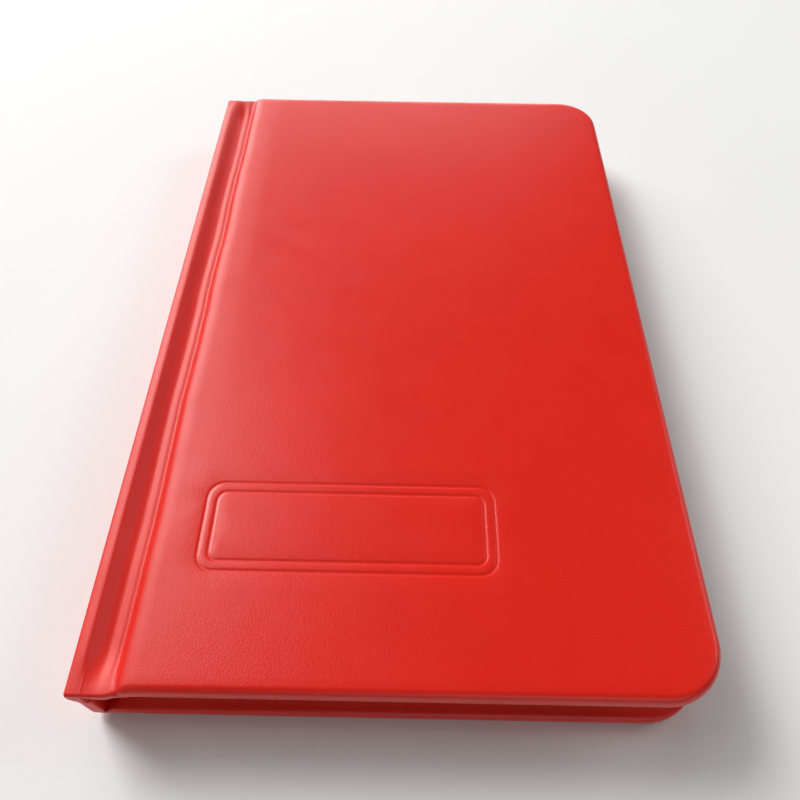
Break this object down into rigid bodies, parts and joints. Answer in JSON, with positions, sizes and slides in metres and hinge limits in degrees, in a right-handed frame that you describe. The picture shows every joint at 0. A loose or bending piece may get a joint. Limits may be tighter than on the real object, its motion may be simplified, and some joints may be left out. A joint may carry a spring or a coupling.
{
  "type": "pocket notebook",
  "caption": "Hardcover pocket notebook: sewn block of ruled leaves in a leatherette case with grooved hinges, a flat spine panel and rounded fore-edge corners.",
  "frame": {"origin": "middle of the closed notebook's footprint, on the surface that its back cover lies on", "axes": "+X from the spine to the fore edge, +Y from the tail to the head of the pages, +Z from the back cover up to the front cover"},
  "size_m": [0.09, 0.14, 0.014],
  "materials": {
    "leatherette": "satin red polyurethane leatherette with a fine calf grain",
    "greyboard": "raw grey bookbinding board",
    "endpaper": "smooth ivory endpaper",
    "ruled_paper": "ivory writing paper with faint ruled lines",
    "sewing_thread": "waxed linen thread",
    "mull_gauze": "stiff open cotton gauze, glued",
    "kraft_lining": "brown kraft spine lining",
    "end_band": "striped cotton end band, red and ivory"
  },
  "bodies": {
    "back_cover": {"back_cover_skin": "leatherette", "back_board": "greyboard", "back_pastedown": "endpaper", "back_joint_skin": "leatherette"},
    "block": {"spine_mull": "mull_gauze", "spine_lining": "kraft_lining", "head_band": "end_band", "tail_band": "end_band", "sewing_thread_1": "sewing_thread", "sewing_thread_2": "sewing_thread", "sewing_thread_3": "sewing_thread", "sewing_thread_4": "sewing_thread", "signature_07": "ruled_paper"},
    "spine": {"spine_skin": "leatherette", "spine_board": "greyboard", "front_joint_skin": "leatherette"},
    "front_cover": {"front_cover_skin": "leatherette", "front_board": "greyboard", "front_pastedown": "endpaper"},
    "front_flyleaf": {"front_flyleaf": "endpaper"},
    "back_flyleaf": {"back_flyleaf": "endpaper"},
    "signature_01": {"signature_01": "ruled_paper"},
    "signature_02": {"signature_02": "ruled_paper"},
    "signature_03": {"signature_03": "ruled_paper"},
    "signature_04": {"signature_04": "ruled_paper"},
    "signature_05": {"signature_05": "ruled_paper"},
    "signature_06": {"signature_06": "ruled_paper"},
    "signature_08": {"signature_08": "ruled_paper"},
    "signature_09": {"signature_09": "ruled_paper"},
    "signature_10": {"signature_10": "ruled_paper"},
    "signature_11": {"signature_11": "ruled_paper"},
    "signature_12": {"signature_12": "ruled_paper"}
  },
  "joints": [
    {"name": "back_cover_hinge", "type": "hinge", "parent": "back_cover", "child": "block", "pos_m": [-0.045, 0, 0], "axis": [0, 1, 0], "range_deg": [-90, 0], "deforming": ["back_joint_skin"]},
    {"name": "spine_panel_swing", "type": "hinge", "parent": "block", "child": "spine", "pos_m": [-0.045, 0, 0], "axis": [0, -1, 0], "range_deg": [0, 12]},
    {"name": "front_cover_hinge", "type": "hinge", "parent": "spine", "child": "front_cover", "pos_m": [-0.0411, 0, 0.014], "axis": [0, -1, 0], "range_deg": [0, 178], "deforming": ["front_joint_skin"]},
    {"name": "front_flyleaf_turn", "type": "hinge", "parent": "block", "child": "front_flyleaf", "pos_m": [-0.0411, 0, 0.014], "axis": [0, -1, 0], "range_deg": [0, 176]},
    {"name": "back_flyleaf_turn", "type": "hinge", "parent": "back_cover", "child": "back_flyleaf", "pos_m": [-0.045, 0, 0], "axis": [0, -1, 0], "range_deg": [0, 7.5]},
    {"name": "signature_01_turn", "type": "hinge", "parent": "block", "child": "signature_01", "pos_m": [-0.0411, 0, 0.014], "axis": [0, -1, 0], "range_deg": [0, 172]},
    {"name": "signature_02_turn", "type": "hinge", "parent": "block", "child": "signature_02", "pos_m": [-0.0416, 0, 0.00948], "axis": [0, -1, 0], "range_deg": [0, 3]},
    {"name": "signature_03_turn", "type": "hinge", "parent": "block", "child": "signature_03", "pos_m": [-0.0416, 0, 0.00886], "axis": [0, -1, 0], "range_deg": [0, 2.5]},
    {"name": "signature_04_turn", "type": "hinge", "parent": "block", "child": "signature_04", "pos_m": [-0.0416, 0, 0.00825], "axis": [0, -1, 0], "range_deg": [0, 2]},
    {"name": "signature_05_turn", "type": "hinge", "parent": "block", "child": "signature_05", "pos_m": [-0.0416, 0, 0.00764], "axis": [0, -1, 0], "range_deg": [0, 1.5]},
    {"name": "signature_06_turn", "type": "hinge", "parent": "block", "child": "signature_06", "pos_m": [-0.0416, 0, 0.00702], "axis": [0, -1, 0], "range_deg": [0, 1]},
    {"name": "signature_08_turn", "type": "hinge", "parent": "block", "child": "signature_08", "pos_m": [-0.0416, 0, 0.00636], "axis": [0, 1, 0], "range_deg": [0, 1]},
    {"name": "signature_09_turn", "type": "hinge", "parent": "block", "child": "signature_09", "pos_m": [-0.0416, 0, 0.00575], "axis": [0, 1, 0], "range_deg": [0, 2]},
    {"name": "signature_10_turn", "type": "hinge", "parent": "block", "child": "signature_10", "pos_m": [-0.0416, 0, 0.00514], "axis": [0, 1, 0], "range_deg": [0, 3]},
    {"name": "signature_11_turn", "type": "hinge", "parent": "block", "child": "signature_11", "pos_m": [-0.0416, 0, 0.00453], "axis": [0, 1, 0], "range_deg": [0, 4]},
    {"name": "signature_12_turn", "type": "hinge", "parent": "block", "child": "signature_12", "pos_m": [-0.0416, 0, 0.00391], "axis": [0, 1, 0], "range_deg": [0, 5]}
  ],
  "couplings": [
    {"joint": "spine_panel_swing", "follows": "front_cover_hinge", "ratio": 0.066},
    {"joint": "front_flyleaf_turn", "follows": "front_cover_hinge", "ratio": 0.98},
    {"joint": "back_flyleaf_turn", "follows": "back_cover_hinge", "ratio": -0.08},
    {"joint": "signature_01_turn", "follows": "front_cover_hinge", "ratio": 0.95},
    {"joint": "signature_02_turn", "follows": "front_cover_hinge", "ratio": 0.016},
    {"joint": "signature_03_turn", "follows": "front_cover_hinge", "ratio": 0.013},
    {"joint": "signature_04_turn", "follows": "front_cover_hinge", "ratio": 0.01},
    {"joint": "signature_05_turn", "follows": "front_cover_hinge", "ratio": 0.007},
    {"joint": "signature_06_turn", "follows": "front_cover_hinge", "ratio": 0.004},
    {"joint": "signature_08_turn", "follows": "back_cover_hinge", "ratio": -0.01},
    {"joint": "signature_09_turn", "follows": "back_cover_hinge", "ratio": -0.02},
    {"joint": "signature_10_turn", "follows": "back_cover_hinge", "ratio": -0.03},
    {"joint": "signature_11_turn", "follows": "back_cover_hinge", "ratio": -0.04},
    {"joint": "signature_12_turn", "follows": "back_cover_hinge", "ratio": -0.05}
  ]
}
